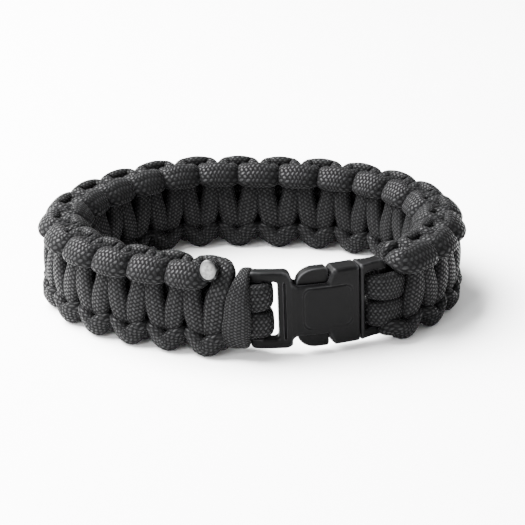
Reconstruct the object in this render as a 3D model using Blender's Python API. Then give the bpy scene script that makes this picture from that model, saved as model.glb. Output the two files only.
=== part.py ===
"""A woven cord bracelet closed by a contoured side release buckle.

The band is a flat cobra weave. Two core strands run through its middle. One working cord crosses the outer
face as a row of bars, the other crosses the inner face, and each turns round the band's edges over the bars
of the other. The bracelet stands on its lower edge, with its opening upwards, centred on the origin.

Shapes are laid out along the unrolled band and are then bent round the loop:
  along   distance round the loop, counter-clockwise from above, from the first bar's middle
  across  height above the band's middle line
  depth   distance out from the band's middle surface
"""

import math

import bmesh
import bpy
import numpy as np
from mathutils import Matrix, Vector

MM = 0.001

# Weave
BAR_COUNT = 43
CORD_WIDTH = 4.05 * MM
CORD_THICKNESS = 2.85 * MM
BAR_GAP = 0.235 * MM
CORE_WIDTH = 4.2 * MM
CORE_THICKNESS = 2.9 * MM
CORE_GAP = 0.3 * MM
LAY_GAP = 0.2 * MM
CORD_SIDES = 6
CORE_STEPS = 44

# Turns of the core round the two cord bars, and the hitch bight beside the socket
TURN_WIDTH = 5.3 * MM
TURN_THICKNESS = 2.5 * MM
TURN_GAP = 0.3 * MM
TURN_SWELL = 1.2
BIGHT_WIDTH = 4.3 * MM
BIGHT_THICKNESS = 2.4 * MM
PLUG_STANDOFF = 3.7 * MM

# Buckle
SLOT_SIDE_ROOM = 0.55 * MM
SLOT_END_ROOM = 0.75 * MM
SLOT_CORNER = 0.8 * MM
RAIL_HEIGHT = 1.9 * MM
CORD_BAR_DEPTH = 1.7 * MM
CORD_BAR_THICKNESS = 1.8 * MM
FRAME_THICKNESS = 2.8 * MM
FRAME_CORNER = 1.7 * MM
BODY_LENGTH = 15.4 * MM
BODY_THICKNESS = 4.4 * MM
PLATE_THICKNESS = 0.75 * MM
RIM_WALL = 1.5 * MM
RIM_LENGTH = 4.7 * MM
RIM_SLANT = 1.25 * MM
WAIST_HEIGHT = 10.3 * MM
NECK_LENGTH = 3.8 * MM
SHOULDER_RADIUS = 2.0 * MM
WAIST_RADIUS = 1.4 * MM
FLANGE_DEPTH = 1.1 * MM
SEAM_GAP = 0.3 * MM
FIT_GAP = 0.3 * MM
ARM_HEIGHT = 1.8 * MM
PAD_PROUD = 0.5 * MM
GUIDE_HEIGHT = 2.6 * MM
GUIDE_LENGTH = 7.0 * MM
PANEL_HEIGHT = 8.6 * MM
PANEL_LENGTH = 10.0 * MM
PANEL_MARGIN = 1.15 * MM
PANEL_CORNER = 1.3 * MM
GROOVE_WIDTH = 0.4 * MM
GROOVE_DEPTH = 0.25 * MM
SLICE = 2.6 * MM

# Melted end of the working cord
TIP_WIDTH = 2.7 * MM
TIP_THICKNESS = 3.5 * MM
TIP_DEPTH = 0.6 * MM
TIP_GAP = 0.2 * MM

# Plan of the loop's middle line, counter-clockwise from +X in even steps: share of the mean radius
PLAN_REACH = (1.146, 1.077, 0.920, 0.857, 0.960, 1.077, 1.177, 1.049, 0.877, 0.886, 0.931, 1.063)
SOCKET_ANGLE = math.radians(268)

# Packing of the bars in even steps from the plug's end to the socket's: share of the mean spacing
BAR_PACKING = (0.96, 1.00, 1.03, 1.10, 1.10, 1.05, 0.97, 0.88, 0.91)

BLACK_CORD = (0.045, 0.046, 0.048, 1.0)
BLACK_PLASTIC = (0.022, 0.023, 0.025, 1.0)
PALE_TIP = (0.62, 0.62, 0.60, 1.0)

# Sizes that follow
PITCH = CORD_WIDTH + BAR_GAP
CORE_ACROSS = (CORE_WIDTH + CORE_GAP) / 2
CORE_HALF = CORE_GAP / 2 + CORE_WIDTH
BAR_LIFT = CORE_THICKNESS / 2 + LAY_GAP + CORD_THICKNESS / 2
TURN_ACROSS = (TURN_WIDTH + TURN_GAP) / 2
TURN_LIFT = CORD_BAR_THICKNESS / 2 + LAY_GAP + TURN_THICKNESS / 2
TURN_REACH = CORD_BAR_DEPTH / 2 + LAY_GAP + TURN_THICKNESS / 2
SLOT_HEIGHT = 2 * TURN_WIDTH + TURN_GAP + 2 * SLOT_SIDE_ROOM
SLOT_DEPTH = LAY_GAP + TURN_THICKNESS + SLOT_END_ROOM
BUCKLE_HEIGHT = SLOT_HEIGHT + 2 * RAIL_HEIGHT
LAST_BAR = (BAR_COUNT - 1) * PITCH
BIGHT_ALONG = LAST_BAR + CORD_WIDTH / 2 + BAR_GAP + BIGHT_WIDTH / 2
SOCKET_ALONG = BIGHT_ALONG + BIGHT_WIDTH / 2 + FIT_GAP
SOCKET_BAR = SOCKET_ALONG + CORD_BAR_DEPTH / 2
BODY_START = CORD_BAR_DEPTH + SLOT_DEPTH
SEAM = BODY_START + BODY_LENGTH
PLUG_START = SEAM + SEAM_GAP
PLUG_SLOT = PLUG_START + FLANGE_DEPTH
BUCKLE_LENGTH = PLUG_SLOT + SLOT_DEPTH + CORD_BAR_DEPTH
LOOP_LENGTH = SOCKET_ALONG + BUCKLE_LENGTH + PLUG_STANDOFF + CORD_WIDTH / 2
PLUG_BAR = -PLUG_STANDOFF - CORD_WIDTH / 2 - CORD_BAR_DEPTH / 2
CAVITY_THICKNESS = BODY_THICKNESS - 2 * PLATE_THICKNESS
CAVITY_HALF = BUCKLE_HEIGHT / 2 - RIM_WALL
ARM_THICKNESS = CAVITY_THICKNESS - 2 * FIT_GAP

# One half of a working cord's course, from a bar's middle to the crest of its turn round the band's edge.
# along: share of the pitch. core and lay: height above the middle line, as shares of the core's half width
# and of the cord's thickness. depth: share of the bar's lift. width, thickness: shares of the cord's.
# roll: degrees the flat side turns from facing out towards the edge. lean: share of it facing along.
HALF_COURSE = (
    # name, along, core, lay, depth, width, thickness, roll, lean
    ("bar end", -0.02, 0.75, 0.00, 1.01, 1.00, 1.00, 5, 0.00),
    ("shoulder", -0.19, 1.00, 0.25, 0.58, 0.72, 0.94, 50, 0.00),
    ("edge", -0.29, 1.00, 0.82, 0.00, 0.46, 1.43, 85, 0.00),
    ("rise", -0.20, 1.00, 1.31, -0.52, 0.65, 0.98, 103, -0.26),
    ("haunch", 0.13, 1.00, 1.22, -1.08, 1.04, 0.90, 136, -0.35),
    ("crest", 0.50, 1.00, 0.99, -1.10, 1.26, 0.96, 141, 0.00),
)

# The last outer bar has no cap over its head, so the head stands fuller and leans towards the socket.
LAST_HEAD = (
    ("bar end", -0.10, 0.75, 0.00, 1.02, 0.98, 1.00, 8, 0.00),
    ("shoulder", -0.34, 1.00, 0.40, 0.78, 0.84, 0.96, 50, 0.00),
    ("edge", -0.46, 1.00, 0.95, 0.00, 0.62, 1.25, 85, 0.00),
    ("rise", -0.30, 1.00, 1.31, -0.60, 0.62, 0.98, 103, -0.26),
)

# The first lower turn starts from behind the plug's bar, so it is shorter than the others.
FIRST_TURN = (
    ("edge", 0.02, 1.00, 0.82, -0.10, 0.46, 1.30, 85, 0.00),
    ("rise", 0.03, 1.00, 1.31, -0.55, 0.62, 0.98, 103, -0.20),
    ("haunch", 0.20, 1.00, 1.22, -1.06, 0.85, 0.90, 136, -0.35),
)


def loop_line():
    """Return distance, position and outward direction at close steps round the loop's middle line."""
    reach = np.array(PLAN_REACH)
    count = len(reach)
    ring = 4 * np.eye(count) + np.roll(np.eye(count), 1, axis=0) + np.roll(np.eye(count), -1, axis=0)
    slope = np.linalg.solve(ring, 3 * (np.roll(reach, -1) - np.roll(reach, 1)))
    t = np.arange(200) / 200
    radius = []
    for i in range(count):
        j = (i + 1) % count
        radius.append(
            (2 * t**3 - 3 * t**2 + 1) * reach[i]
            + (t**3 - 2 * t**2 + t) * slope[i]
            + (3 * t**2 - 2 * t**3) * reach[j]
            + (t**3 - t**2) * slope[j]
        )
    radius = np.concatenate(radius)
    angle = np.arange(len(radius)) * 2 * math.pi / len(radius)
    spot = np.stack((radius * np.cos(angle), radius * np.sin(angle)), axis=1)
    heading = np.roll(spot, -1, axis=0) - np.roll(spot, 1, axis=0)
    heading = heading / np.linalg.norm(heading, axis=1)[:, None]
    outward = np.stack((heading[:, 1], -heading[:, 0]), axis=1)
    spot = np.vstack((spot, spot[:1]))
    outward = np.vstack((outward, outward[:1]))
    run = np.concatenate(([0.0], np.cumsum(np.linalg.norm(np.diff(spot, axis=0), axis=1))))
    scale = LOOP_LENGTH / run[-1]
    spot = spot * scale
    run = run * scale
    middle = (spot.max(axis=0) + spot.min(axis=0)) / 2
    socket = np.interp(SOCKET_ANGLE, np.append(angle, 2 * math.pi), run)
    return run, spot - middle, outward, socket - SOCKET_ALONG


def packing_line():
    """Return the distance of evenly laid bars and that of the packed bars, at close steps."""
    even = np.linspace(0, LAST_BAR, 20 * len(BAR_PACKING))
    share = np.interp(even, np.linspace(0, LAST_BAR, len(BAR_PACKING)), BAR_PACKING)
    packed = np.concatenate(([0.0], np.cumsum((share[1:] + share[:-1]) / 2)))
    return even, packed * LAST_BAR / packed[-1]


LOOP = loop_line()
PACKING = packing_line()


def place(along, across, depth):
    """Bend a point of the unrolled band round the loop."""
    if 0 < along < LAST_BAR:
        along = np.interp(along, *PACKING)
    run, spot, outward, start = LOOP
    where = (along + start) % LOOP_LENGTH
    x = np.interp(where, run, spot[:, 0])
    y = np.interp(where, run, spot[:, 1])
    nx = np.interp(where, run, outward[:, 0])
    ny = np.interp(where, run, outward[:, 1])
    size = math.hypot(nx, ny)
    return Vector((x + depth * nx / size, y + depth * ny / size, across))


def material(name, colour, roughness):
    """A plain surface of one colour."""
    made = bpy.data.materials.new(name)
    made.use_nodes = True
    made.diffuse_color = colour
    shader = made.node_tree.nodes["Principled BSDF"]
    shader.inputs["Base Color"].default_value = colour
    shader.inputs["Roughness"].default_value = roughness
    shader.inputs["Metallic"].default_value = 0.0
    return made


# Cords


def facing(up, side, roll, lean):
    """The direction that a cord's flat side faces."""
    rest = math.sqrt(1 - lean * lean)
    roll = math.radians(roll)
    return (lean, up * rest * math.sin(roll), side * rest * math.cos(roll))


def course_row(bar, half, up, side, row):
    """One section of a working cord. half is -1 on the way into the bar and 1 on the way out of it."""
    name, along, core, lay, depth, width, thickness, roll, lean = row
    return (
        (bar + half * along) * PITCH,
        half * up * (core * CORE_HALF + lay * CORD_THICKNESS),
        side * depth * BAR_LIFT,
        width * CORD_WIDTH,
        thickness * CORD_THICKNESS,
        facing(half * up, side, roll, half * lean),
    )


def course(side, first_up):
    """The sections of a working cord over all the bars, in two lists for each bar: way in and way out."""
    bars = []
    for bar in range(BAR_COUNT):
        up = first_up if bar % 2 == 0 else -first_up
        way_in = [course_row(bar, -1, up, side, row) for row in reversed(HALF_COURSE)]
        way_out = [course_row(bar, 1, up, side, row) for row in HALF_COURSE]
        bars.append([way_in, way_out])
    return bars


def joined(bars):
    """Run the bars' sections together, with each crest once."""
    rows = list(bars[0][0]) + list(bars[0][1])
    for way_in, way_out in bars[1:]:
        rows += way_in[1:] + way_out
    return rows


def outer_course():
    """The cord whose bars cross the outer face: it starts behind the plug's bar, above the middle line."""
    bars = course(1, -1)
    crest = bars[0][0][0]
    start = PLUG_BAR + SEAM_GAP
    next_along = start + 0.36 * CORD_WIDTH
    lead = [
        (start, TURN_ACROSS, -TURN_LIFT, 0.80 * TURN_WIDTH, 0.95 * TURN_THICKNESS, (0, 0, -1)),
        (
            next_along,
            1.1 * TURN_ACROSS,
            -1.05 * TURN_LIFT,
            0.62 * TURN_WIDTH,
            0.95 * TURN_THICKNESS,
            (0, 0, -1),
        ),
        (
            (1.4 * next_along + crest[0]) / 2.4,
            (TURN_ACROSS + 1.6 * crest[1]) / 2.6,
            -TURN_LIFT - 0.35 * TURN_THICKNESS,
            0.9 * CORD_WIDTH,
            0.95 * CORD_THICKNESS,
            (0, 0.3, -0.95),
        ),
    ]
    bars[0][0] = lead + bars[0][0]
    last = BAR_COUNT - 1
    head = [course_row(last, -1, -1, 1, row) for row in reversed(LAST_HEAD)]
    bars[-1][0] = bars[-1][0][:2] + head
    bars[-1][1] = bars[-1][1][:-1]
    return joined(bars)


def inner_course():
    """The cord whose bars cross the inner face: it starts behind the plug's bar, below the middle line."""
    bars = course(-1, 1)
    turn = [course_row(-1, 1, -1, -1, row) for row in FIRST_TURN]
    start = PLUG_BAR + SEAM_GAP
    next_along = start + 0.36 * CORD_WIDTH
    edge = turn[0]
    lead = [
        (start, -TURN_ACROSS, -TURN_LIFT, 0.80 * TURN_WIDTH, 0.95 * TURN_THICKNESS, (0, 0, -1)),
        (
            next_along,
            -1.1 * TURN_ACROSS,
            -1.05 * TURN_LIFT,
            0.60 * TURN_WIDTH,
            0.95 * TURN_THICKNESS,
            (0, 0, -1),
        ),
        (
            (next_along + 2 * edge[0]) / 3,
            -(TURN_ACROSS - 2 * edge[1]) / 3,
            -TURN_LIFT - 0.25 * TURN_THICKNESS,
            0.75 * CORD_WIDTH,
            0.95 * CORD_THICKNESS,
            (-0.2, -0.5, -0.85),
        ),
    ]
    bars[0][0] = lead + turn + bars[0][0]
    tail = bars[-1][1][:3]
    along, across, depth = tail[-1][:3]
    for rise, lift, share, dip in ((0.20, 0.62, 0.85, -0.3), (0.30, 1.10, 0.95, -0.3), (0.32, 1.25, 1.0, -0.1)):
        spot = (along, across + rise * CORD_THICKNESS, lift * BAR_LIFT)
        tail.append((*spot, share * TIP_WIDTH, TIP_THICKNESS, (0, 1, dip)))
    bars[-1][1] = tail
    return joined(bars)


def core_course():
    """The upper half of the core cord, from behind the plug's bar to the middle of the hitch's bight."""
    flat = (0, 0, 1)
    near = PLUG_BAR + CORD_BAR_DEPTH / 2 + LAY_GAP
    far = SOCKET_BAR - CORD_BAR_DEPTH / 2 - LAY_GAP
    knee_width = 0.9 * TURN_WIDTH
    rows = [
        (along, TURN_ACROSS, -TURN_LIFT, TURN_WIDTH, TURN_THICKNESS, (0, 0, -1))
        for along in (PLUG_BAR - SEAM_GAP / 2, PLUG_BAR - CORD_BAR_DEPTH / 3)
    ]
    for degrees in (225, 180, 135):
        rows.append(turn_row(PLUG_BAR, degrees))
    rows.append((PLUG_BAR, TURN_ACROSS, TURN_LIFT, TURN_WIDTH, TURN_THICKNESS, flat))
    rows.append((near, TURN_ACROSS, 1.05 * TURN_LIFT, knee_width, TURN_THICKNESS, (0.2, 0, 0.98)))
    edge = -CORD_WIDTH / 2
    middle = (near + edge) / 2
    between = (TURN_ACROSS + CORE_ACROSS) / 2
    rows.append((middle, between, 0.45 * TURN_LIFT, knee_width, TURN_THICKNESS, (0.5, 0, 0.87)))
    rows.append((edge, CORE_ACROSS, 0.05 * TURN_LIFT, CORE_WIDTH, CORE_THICKNESS, (0.1, 0, 0.99)))
    begin = 0.5 * PITCH
    for i in range(CORE_STEPS + 1):
        along = begin + (LAST_BAR - begin) * i / CORE_STEPS
        rows.append((along, CORE_ACROSS, 0.0, CORE_WIDTH, CORE_THICKNESS, flat))
    under = LAST_BAR + CORD_WIDTH / 2 + BAR_GAP
    rows.append((under, CORE_ACROSS, 0.03 * TURN_LIFT, CORE_WIDTH, CORE_THICKNESS, (-0.1, 0, 0.99)))
    rows.append((BIGHT_ALONG, between, 0.42 * TURN_LIFT, knee_width, TURN_THICKNESS, (-0.45, 0, 0.89)))
    rows.append((far, TURN_ACROSS, 1.05 * TURN_LIFT, knee_width, TURN_THICKNESS, (-0.25, 0, 0.97)))
    rows.append((SOCKET_BAR, TURN_ACROSS, TURN_LIFT, TURN_WIDTH, TURN_THICKNESS, flat))
    for degrees in (45, 0, -45):
        rows.append(turn_row(SOCKET_BAR, degrees))
    rows.append((SOCKET_BAR, TURN_ACROSS, -TURN_LIFT, TURN_WIDTH, TURN_THICKNESS, (0, 0, -1)))
    return rows


def turn_row(bar, degrees):
    """A section of a turn round a cord bar, at an angle from facing along."""
    angle = math.radians(degrees)
    c = math.cos(angle)
    s = math.sin(angle)
    swell = 1 + (TURN_SWELL - 1) * abs(math.sin(2 * angle))
    return (
        bar + c * swell * TURN_REACH,
        TURN_ACROSS,
        s * swell * TURN_LIFT,
        TURN_WIDTH,
        TURN_THICKNESS,
        (c, 0, s),
    )


def bight_course():
    """The upper half of the hitch's bight, from behind the socket's bar over the upper edge to its middle."""
    edge = CORE_HALF + LAY_GAP + 0.45 * TURN_WIDTH
    leg = BIGHT_ALONG + 0.08 * BIGHT_WIDTH
    return [
        (
            (SOCKET_BAR + 2 * leg) / 3,
            (TURN_ACROSS + edge) / 2,
            -1.6 * TURN_LIFT,
            0.75 * TURN_WIDTH,
            BIGHT_THICKNESS,
            (0.1, 0.25, -0.97),
        ),
        (leg, edge, -0.75 * TURN_LIFT, 0.62 * BIGHT_WIDTH, BIGHT_THICKNESS, (0, 0.8, -0.6)),
        (
            leg,
            edge + 0.1 * BIGHT_THICKNESS,
            0.35 * TURN_LIFT,
            0.58 * BIGHT_WIDTH,
            BIGHT_THICKNESS,
            (0, 1, 0.1),
        ),
        (
            BIGHT_ALONG + 0.05 * BIGHT_WIDTH,
            0.85 * edge,
            1.25 * TURN_LIFT,
            0.75 * BIGHT_WIDTH,
            BIGHT_THICKNESS,
            (0, 0.55, 0.83),
        ),
        (BIGHT_ALONG, 0.45 * edge, 1.68 * TURN_LIFT, 0.95 * BIGHT_WIDTH, BIGHT_THICKNESS, (-0.2, 0.12, 0.97)),
    ]


def cord(name, rows, sides, surface, collection):
    """A flattened cord lofted through its sections and bent round the loop."""
    spots = np.array([row[:3] for row in rows])
    heading = np.gradient(spots, axis=0)
    mesh = bmesh.new()
    rings = []
    for row, ahead in zip(rows, heading):
        ahead = Vector(ahead).normalized()
        flat = Vector(row[5])
        flat = (flat - ahead * flat.dot(ahead)).normalized()
        wide = ahead.cross(flat)
        ring = []
        for side in range(sides):
            angle = (side + 0.5) * 2 * math.pi / sides
            spot = Vector(row[:3])
            spot += wide * (math.cos(angle) * row[3] / 2) + flat * (math.sin(angle) * row[4] / 2)
            ring.append(mesh.verts.new(place(*spot)))
        rings.append(ring)
    for near, far in zip(rings, rings[1:]):
        for i in range(sides):
            j = (i + 1) % sides
            mesh.faces.new((near[i], near[j], far[j], far[i]))
    mesh.faces.new(rings[0])
    mesh.faces.new(rings[-1])
    return finish(name, mesh, surface, collection)


def finish(name, mesh, surface, collection):
    """Make an object of a bmesh, faces outwards and shaded smooth between flat faces."""
    bmesh.ops.recalc_face_normals(mesh, faces=mesh.faces)
    if mesh.calc_volume(signed=True) < 0:
        bmesh.ops.reverse_faces(mesh, faces=mesh.faces)
    data = bpy.data.meshes.new(name)
    mesh.to_mesh(data)
    mesh.free()
    data.shade_smooth()
    data.set_sharp_from_angle(angle=math.radians(40))
    made = bpy.data.objects.new(name, data)
    made.data.materials.append(surface)
    collection.objects.link(made)
    return made


# Buckle


def arc(x, y, radius, first, last, steps=4):
    """Points of an arc in degrees, ends included."""
    points = []
    for i in range(steps + 1):
        angle = math.radians(first + (last - first) * i / steps)
        points.append((x + radius * math.cos(angle), y + radius * math.sin(angle)))
    return points


def mirrored(upper):
    """Close an outline whose upper half runs from left to right."""
    return upper + [(x, -y) for x, y in reversed(upper)]


def rounded_box(x0, x1, half, radius, steps=3):
    """An outline of a rectangle with round corners, even about the middle line."""
    return mirrored(
        arc(x0 + radius, half - radius, radius, 180, 90, steps)
        + arc(x1 - radius, half - radius, radius, 90, 0, steps)
    )


def slab(name, outlines, thickness, collection):
    """A flat outline with holes, given its thickness about the middle surface, as a mesh object."""
    curve = bpy.data.curves.new(name, "CURVE")
    curve.dimensions = "2D"
    curve.fill_mode = "BOTH"
    curve.extrude = thickness / 2
    for outline in outlines:
        spline = curve.splines.new("POLY")
        spline.points.add(len(outline) - 1)
        for point, (x, y) in zip(spline.points, outline):
            point.co = (x, y, 0, 1)
        spline.use_cyclic_u = True
    guide = bpy.data.objects.new(name + "_outline", curve)
    collection.objects.link(guide)
    bpy.context.view_layer.update()
    depsgraph = bpy.context.evaluated_depsgraph_get()
    data = bpy.data.meshes.new_from_object(guide.evaluated_get(depsgraph))
    bpy.data.objects.remove(guide)
    bpy.data.curves.remove(curve)
    mesh = bmesh.new()
    mesh.from_mesh(data)
    bmesh.ops.remove_doubles(mesh, verts=mesh.verts, dist=0.00001)
    bmesh.ops.dissolve_limit(mesh, angle_limit=0.001, verts=mesh.verts, edges=mesh.edges)
    bmesh.ops.recalc_face_normals(mesh, faces=mesh.faces)
    mesh.to_mesh(data)
    mesh.free()
    made = bpy.data.objects.new(name, data)
    collection.objects.link(made)
    return made


def block(name, x0, x1, y0, y1, z0, z1, collection):
    """A plain box between two corners."""
    mesh = bmesh.new()
    bmesh.ops.create_cube(mesh, size=1)
    for vert in mesh.verts:
        vert.co.x = x0 if vert.co.x < 0 else x1
        vert.co.y = y0 if vert.co.y < 0 else y1
        vert.co.z = z0 if vert.co.z < 0 else z1
    data = bpy.data.meshes.new(name)
    mesh.to_mesh(data)
    mesh.free()
    made = bpy.data.objects.new(name, data)
    collection.objects.link(made)
    return made


def combine(target, others, operation):
    """Cut or join other solids with a target and remove them."""
    for other in others:
        change = target.modifiers.new(operation, "BOOLEAN")
        change.operation = operation
        change.solver = "EXACT"
        change.object = other
    bpy.context.view_layer.update()
    depsgraph = bpy.context.evaluated_depsgraph_get()
    data = bpy.data.meshes.new_from_object(target.evaluated_get(depsgraph))
    target.modifiers.clear()
    old = target.data
    target.data = data
    bpy.data.meshes.remove(old)
    for other in others:
        bpy.data.objects.remove(other)


def taper(target, stations):
    """Scale the thickness of a slab along its length, through pairs of distance and share."""
    mesh = bmesh.new()
    mesh.from_mesh(target.data)
    for x, share in stations:
        geometry = mesh.verts[:] + mesh.edges[:] + mesh.faces[:]
        bmesh.ops.bisect_plane(mesh, geom=geometry, dist=0.00001, plane_co=(x, 0, 0), plane_no=(1, 0, 0))
    xs = [x for x, share in stations]
    shares = [share for x, share in stations]
    for vert in mesh.verts:
        vert.co.z *= float(np.interp(vert.co.x, xs, shares))
    mesh.to_mesh(target.data)
    mesh.free()


def bend(name, target, surface, collection):
    """Cut a flat buckle half into short lengths and bend it round the loop."""
    mesh = bmesh.new()
    mesh.from_mesh(target.data)
    bpy.data.objects.remove(target)
    bmesh.ops.remove_doubles(mesh, verts=mesh.verts, dist=0.00001)
    xs = [vert.co.x for vert in mesh.verts]
    count = max(1, round((max(xs) - min(xs)) / SLICE))
    for i in range(1, count):
        x = min(xs) + (max(xs) - min(xs)) * i / count
        geometry = mesh.verts[:] + mesh.edges[:] + mesh.faces[:]
        bmesh.ops.bisect_plane(mesh, geom=geometry, dist=0.00001, plane_co=(x, 0, 0), plane_no=(1, 0, 0))
    bmesh.ops.triangulate(mesh, faces=mesh.faces)
    for vert in mesh.verts:
        vert.co = place(SOCKET_ALONG + vert.co.x, vert.co.y, vert.co.z)
    return finish(name, mesh, surface, collection)


def socket(surface, collection):
    """The socket: strap frame, neck, two plates round a hollow, side windows and rim."""
    half = BUCKLE_HEIGHT / 2
    waist = WAIST_HEIGHT / 2
    window_end = SEAM - RIM_LENGTH
    waist_x = BODY_START + NECK_LENGTH + WAIST_RADIUS / 2
    upper = arc(FRAME_CORNER, half - FRAME_CORNER, FRAME_CORNER, 180, 90)
    upper += arc(BODY_START + SHOULDER_RADIUS / 2, half - SHOULDER_RADIUS, SHOULDER_RADIUS, 90, 20)
    upper += arc(waist_x, waist + WAIST_RADIUS, WAIST_RADIUS, 195, 270)
    upper += [
        (window_end - RIM_SLANT, waist),
        (window_end - RIM_SLANT / 4, half - RIM_SLANT / 2),
        (window_end + RIM_SLANT / 4, half),
        (SEAM - FIT_GAP, half),
        (SEAM, half - FIT_GAP),
    ]
    slot = rounded_box(CORD_BAR_DEPTH, BODY_START, SLOT_HEIGHT / 2, SLOT_CORNER)
    body = slab("socket_body", [mirrored(upper), slot], BODY_THICKNESS, collection)
    frame = FRAME_THICKNESS / BODY_THICKNESS
    taper(
        body,
        (
            (0.0, 0.85 * frame),
            (CORD_BAR_DEPTH, frame),
            (BODY_START + 0.2 * NECK_LENGTH, frame),
            (BODY_START + 0.65 * NECK_LENGTH, 1.0),
            (SEAM - RIM_LENGTH, 1.0),
        ),
    )
    hollow = block(
        "hollow",
        BODY_START + NECK_LENGTH,
        SEAM + FIT_GAP,
        -CAVITY_HALF,
        CAVITY_HALF,
        -CAVITY_THICKNESS / 2,
        CAVITY_THICKNESS / 2,
        collection,
    )
    combine(body, [hollow] + bar_cuts(0, CORD_BAR_DEPTH, collection), "DIFFERENCE")
    panel_end = SEAM - PANEL_MARGIN
    groove = slab(
        "groove",
        [
            rounded_box(panel_end - PANEL_LENGTH, panel_end, PANEL_HEIGHT / 2, PANEL_CORNER),
            rounded_box(
                panel_end - PANEL_LENGTH + GROOVE_WIDTH,
                panel_end - GROOVE_WIDTH,
                PANEL_HEIGHT / 2 - GROOVE_WIDTH,
                PANEL_CORNER - GROOVE_WIDTH,
            ),
        ],
        2 * GROOVE_DEPTH,
        collection,
    )
    groove.data.transform(shift(0, 0, BODY_THICKNESS / 2))
    combine(body, [groove], "DIFFERENCE")
    return bend("buckle_socket", body, surface, collection)


def shift(x, y, z):
    """A move as a matrix."""
    return Matrix.Translation((x, y, z))


def bar_cuts(x0, x1, collection):
    """Two boxes that thin a strap frame's end to its cord bar."""
    far = BODY_THICKNESS
    near = CORD_BAR_THICKNESS / 2
    half = SLOT_HEIGHT / 2
    cuts = []
    for z0, z1 in ((near, far), (-far, -near)):
        cuts.append(block("bar_cut", x0 - FIT_GAP, x1 + FIT_GAP, -half, half, z0, z1, collection))
    return cuts


def plug(surface, collection):
    """The plug: flange, strap frame, two spring arms with release pads, and the middle guide."""
    half = BUCKLE_HEIGHT / 2
    end = BUCKLE_LENGTH
    upper = [(PLUG_START, half - FIT_GAP), (PLUG_START + FIT_GAP, half)]
    upper += arc(end - FRAME_CORNER, half - FRAME_CORNER, FRAME_CORNER, 90, 0)
    slot = rounded_box(PLUG_SLOT, PLUG_SLOT + SLOT_DEPTH, SLOT_HEIGHT / 2, SLOT_CORNER)
    body = slab("plug_body", [mirrored(upper), slot], BODY_THICKNESS, collection)
    frame = FRAME_THICKNESS / BODY_THICKNESS
    taper(
        body,
        (
            (PLUG_START, 1.0),
            (PLUG_SLOT, 0.5 + 0.5 * frame),
            (PLUG_SLOT + 0.5 * SLOT_DEPTH, frame),
            (PLUG_SLOT + SLOT_DEPTH, frame),
            (end, 0.85 * frame),
        ),
    )
    combine(body, bar_cuts(end - CORD_BAR_DEPTH, end, collection), "DIFFERENCE")
    arm_out = CAVITY_HALF - FIT_GAP
    arm_in = arm_out - ARM_HEIGHT
    pad_end = SEAM - RIM_LENGTH - RIM_SLANT - FIT_GAP
    pad_start = BODY_START + NECK_LENGTH + FIT_GAP
    pad_out = half + PAD_PROUD
    root = PLUG_START + FLANGE_DEPTH / 2
    rise = pad_out - WAIST_HEIGHT / 2
    run = 0.5 * (pad_end - pad_start)
    sweep = [
        (pad_start + run * (1 - math.cos(angle)), WAIST_HEIGHT / 2 + rise * math.sin(angle))
        for angle in [math.radians(90 * i / 5) for i in range(6)]
    ]
    arm = [(root, arm_in), (root, arm_out), (pad_end, arm_out), (pad_end, pad_out)]
    arm += reversed(sweep)
    arm += [(pad_start, arm_in)]
    upper_arm = slab("upper_arm", [arm], ARM_THICKNESS, collection)
    lower_arm = slab("lower_arm", [[(x, -y) for x, y in reversed(arm)]], ARM_THICKNESS, collection)
    guide = block(
        "guide",
        SEAM - GUIDE_LENGTH,
        root,
        -GUIDE_HEIGHT / 2,
        GUIDE_HEIGHT / 2,
        -ARM_THICKNESS / 2,
        ARM_THICKNESS / 2,
        collection,
    )
    combine(body, [upper_arm, lower_arm, guide], "UNION")
    return bend("buckle_plug", body, surface, collection)


def sealed_end(rows, surface, collection):
    """The melted tip: a low dome over the cut face of the inner weave cord."""
    spot, width, thickness, flat = rows[-1][:3], rows[-1][3], rows[-1][4], rows[-1][5]
    ahead = (Vector(spot) - Vector(rows[-2][:3])).normalized()
    steps = ((TIP_GAP, 1.0), (TIP_GAP + 0.55 * TIP_DEPTH, 0.98), (TIP_GAP + TIP_DEPTH, 0.72))
    dome = [(*(Vector(spot) + ahead * lift), width * share, thickness * share, flat) for lift, share in steps]
    return cord("sealed_end", dome, 2 * CORD_SIDES, surface, collection)


def main():
    """Build the bracelet and stand it on the ground."""
    for old in list(bpy.data.objects):
        bpy.data.objects.remove(old)
    bracelet = bpy.data.collections.new("woven_cord_bracelet")
    bpy.context.scene.collection.children.link(bracelet)
    woven = material("black_cord", BLACK_CORD, 0.85)
    moulded = material("black_plastic", BLACK_PLASTIC, 0.45)
    melted = material("melted_cord", PALE_TIP, 0.6)
    half = core_course()
    bight = bight_course()
    middle = (BIGHT_ALONG, 0.0, 1.75 * TURN_LIFT, BIGHT_WIDTH, BIGHT_THICKNESS, (-0.2, 0, 0.98))
    way = half + bight + [middle]
    back = [(r[0], -r[1], r[2], r[3], r[4], (r[5][0], -r[5][1], r[5][2])) for r in reversed(half + bight)]
    made = [
        cord("core_cord", way + back, CORD_SIDES, woven, bracelet),
        cord("outer_weave_cord", outer_course(), CORD_SIDES, woven, bracelet),
    ]
    inner = inner_course()
    made.append(cord("inner_weave_cord", inner, CORD_SIDES, woven, bracelet))
    made.append(sealed_end(inner, melted, bracelet))
    made.append(socket(moulded, bracelet))
    made.append(plug(moulded, bracelet))
    spread = np.array([vert.co for each in made for vert in each.data.vertices])
    centre = (spread.max(axis=0) + spread.min(axis=0)) / 2
    for each in made:
        each.data.transform(shift(-centre[0], -centre[1], -spread.min(axis=0)[2]))


main()
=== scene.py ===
"""Looks of a woven cord bracelet with a contoured side release buckle.

The cords are swept along the courses of the weave, laid out on the unrolled band and bent round the loop:
  along   distance round the loop, counter-clockwise from above, from the first bar's middle
  across  height above the band's middle line
  depth   distance out from the band's middle surface
"""

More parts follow.
